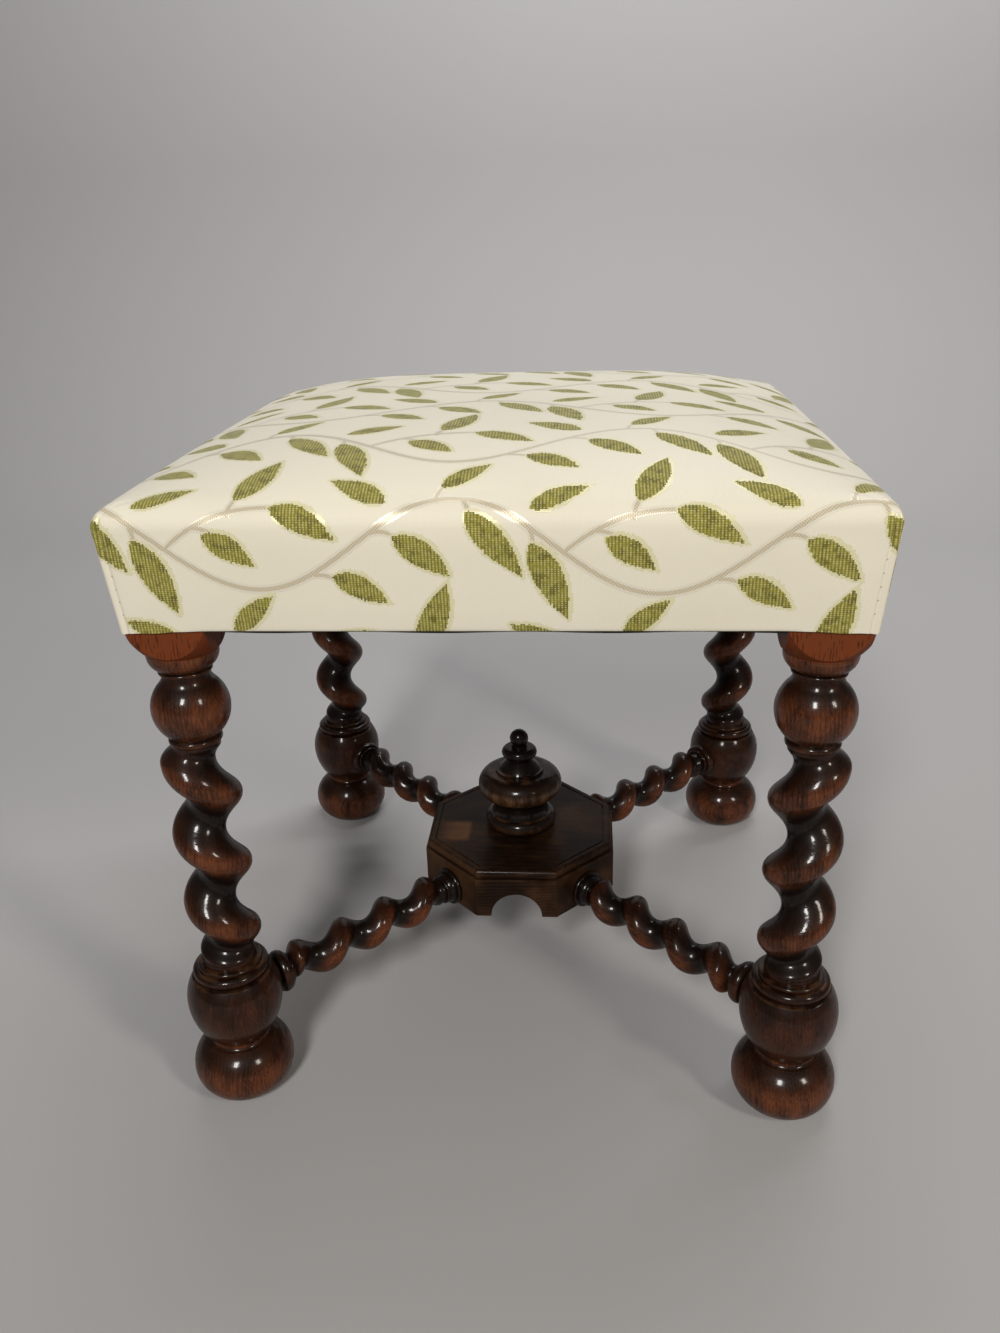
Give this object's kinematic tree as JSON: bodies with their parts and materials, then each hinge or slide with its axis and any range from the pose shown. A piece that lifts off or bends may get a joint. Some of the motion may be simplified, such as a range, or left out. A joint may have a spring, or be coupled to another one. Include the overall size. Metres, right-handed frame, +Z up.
{
  "type": "barley twist stool",
  "caption": "Square upholstered stool on dark turned legs with barley twists, joined by crossed twist stretchers at an octagonal hub with a finial.",
  "frame": {"origin": "on the floor under the middle of the stool", "axes": "+Z up from the floor, -Y towards the front, +X to the right seen from the front"},
  "size_m": [0.4614, 0.4614, 0.466],
  "materials": {
    "stained_oak": "dark stain, polished",
    "frame_wood": "sawn, unfinished",
    "screw_steel": "dull",
    "jute_webbing": "woven",
    "hessian": "open weave",
    "stuffing": "fibre",
    "wadding": "fibre",
    "leaf_fabric": "woven jacquard",
    "bottom_cloth": "plain weave"
  },
  "bodies": {
    "root": {"front_left_leg": "stained_oak", "front_left_stretcher": "stained_oak", "front_left_brace": "frame_wood", "front_right_leg": "stained_oak", "front_right_stretcher": "stained_oak", "front_right_brace": "frame_wood", "back_left_leg": "stained_oak", "back_left_stretcher": "stained_oak", "back_left_brace": "frame_wood", "back_right_leg": "stained_oak", "back_right_stretcher": "stained_oak", "back_right_brace": "frame_wood", "front_rail": "frame_wood", "right_rail": "frame_wood", "back_rail": "frame_wood", "left_rail": "frame_wood", "stretcher_hub": "stained_oak", "hub_finial": "stained_oak", "brace_screws": "screw_steel", "webbing_front_to_back_1": "jute_webbing", "webbing_side_to_side_1": "jute_webbing", "webbing_front_to_back_2": "jute_webbing", "webbing_side_to_side_2": "jute_webbing", "webbing_front_to_back_3": "jute_webbing", "webbing_side_to_side_3": "jute_webbing", "seat_hessian": "hessian", "seat_stuffing": "stuffing", "seat_wadding": "wadding", "seat_cover": "leaf_fabric", "dust_cover": "bottom_cloth"}
  },
  "joints": []
}
